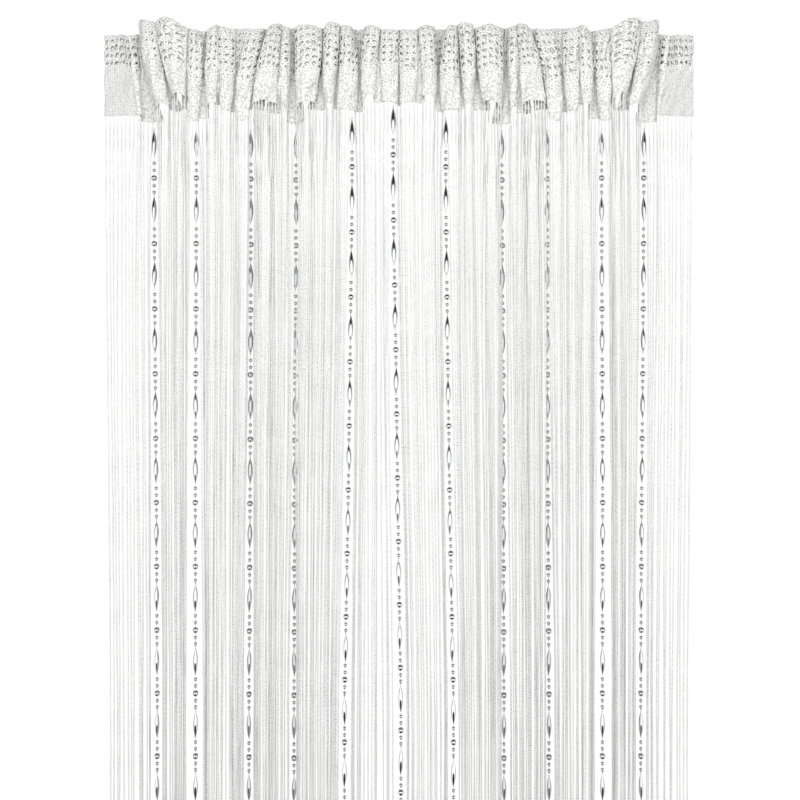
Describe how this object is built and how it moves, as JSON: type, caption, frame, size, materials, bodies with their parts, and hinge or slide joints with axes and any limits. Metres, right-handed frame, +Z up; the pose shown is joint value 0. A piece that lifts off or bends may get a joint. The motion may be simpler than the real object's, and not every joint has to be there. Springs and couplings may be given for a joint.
{
  "type": "beaded string curtain",
  "caption": "White string curtain with a gathered net header tape, fine hanging strings and strands of mirrored beads, for a door or window opening.",
  "frame": {"origin": "middle of the straight line between the top corners of the header tape's two flat ends", "axes": "+Z up along the hang, +X along the width to the right as seen from the room, -Y towards the room, where the folds stand out"},
  "size_m": [0.618, 0.0322, 2.0105],
  "materials": {
    "tape": "white knitted net and band",
    "strings": "white chain-stitch string"
  },
  "bodies": {
    "root": {"header_tape": "tape", "string_fringe": "strings"}
  },
  "joints": []
}
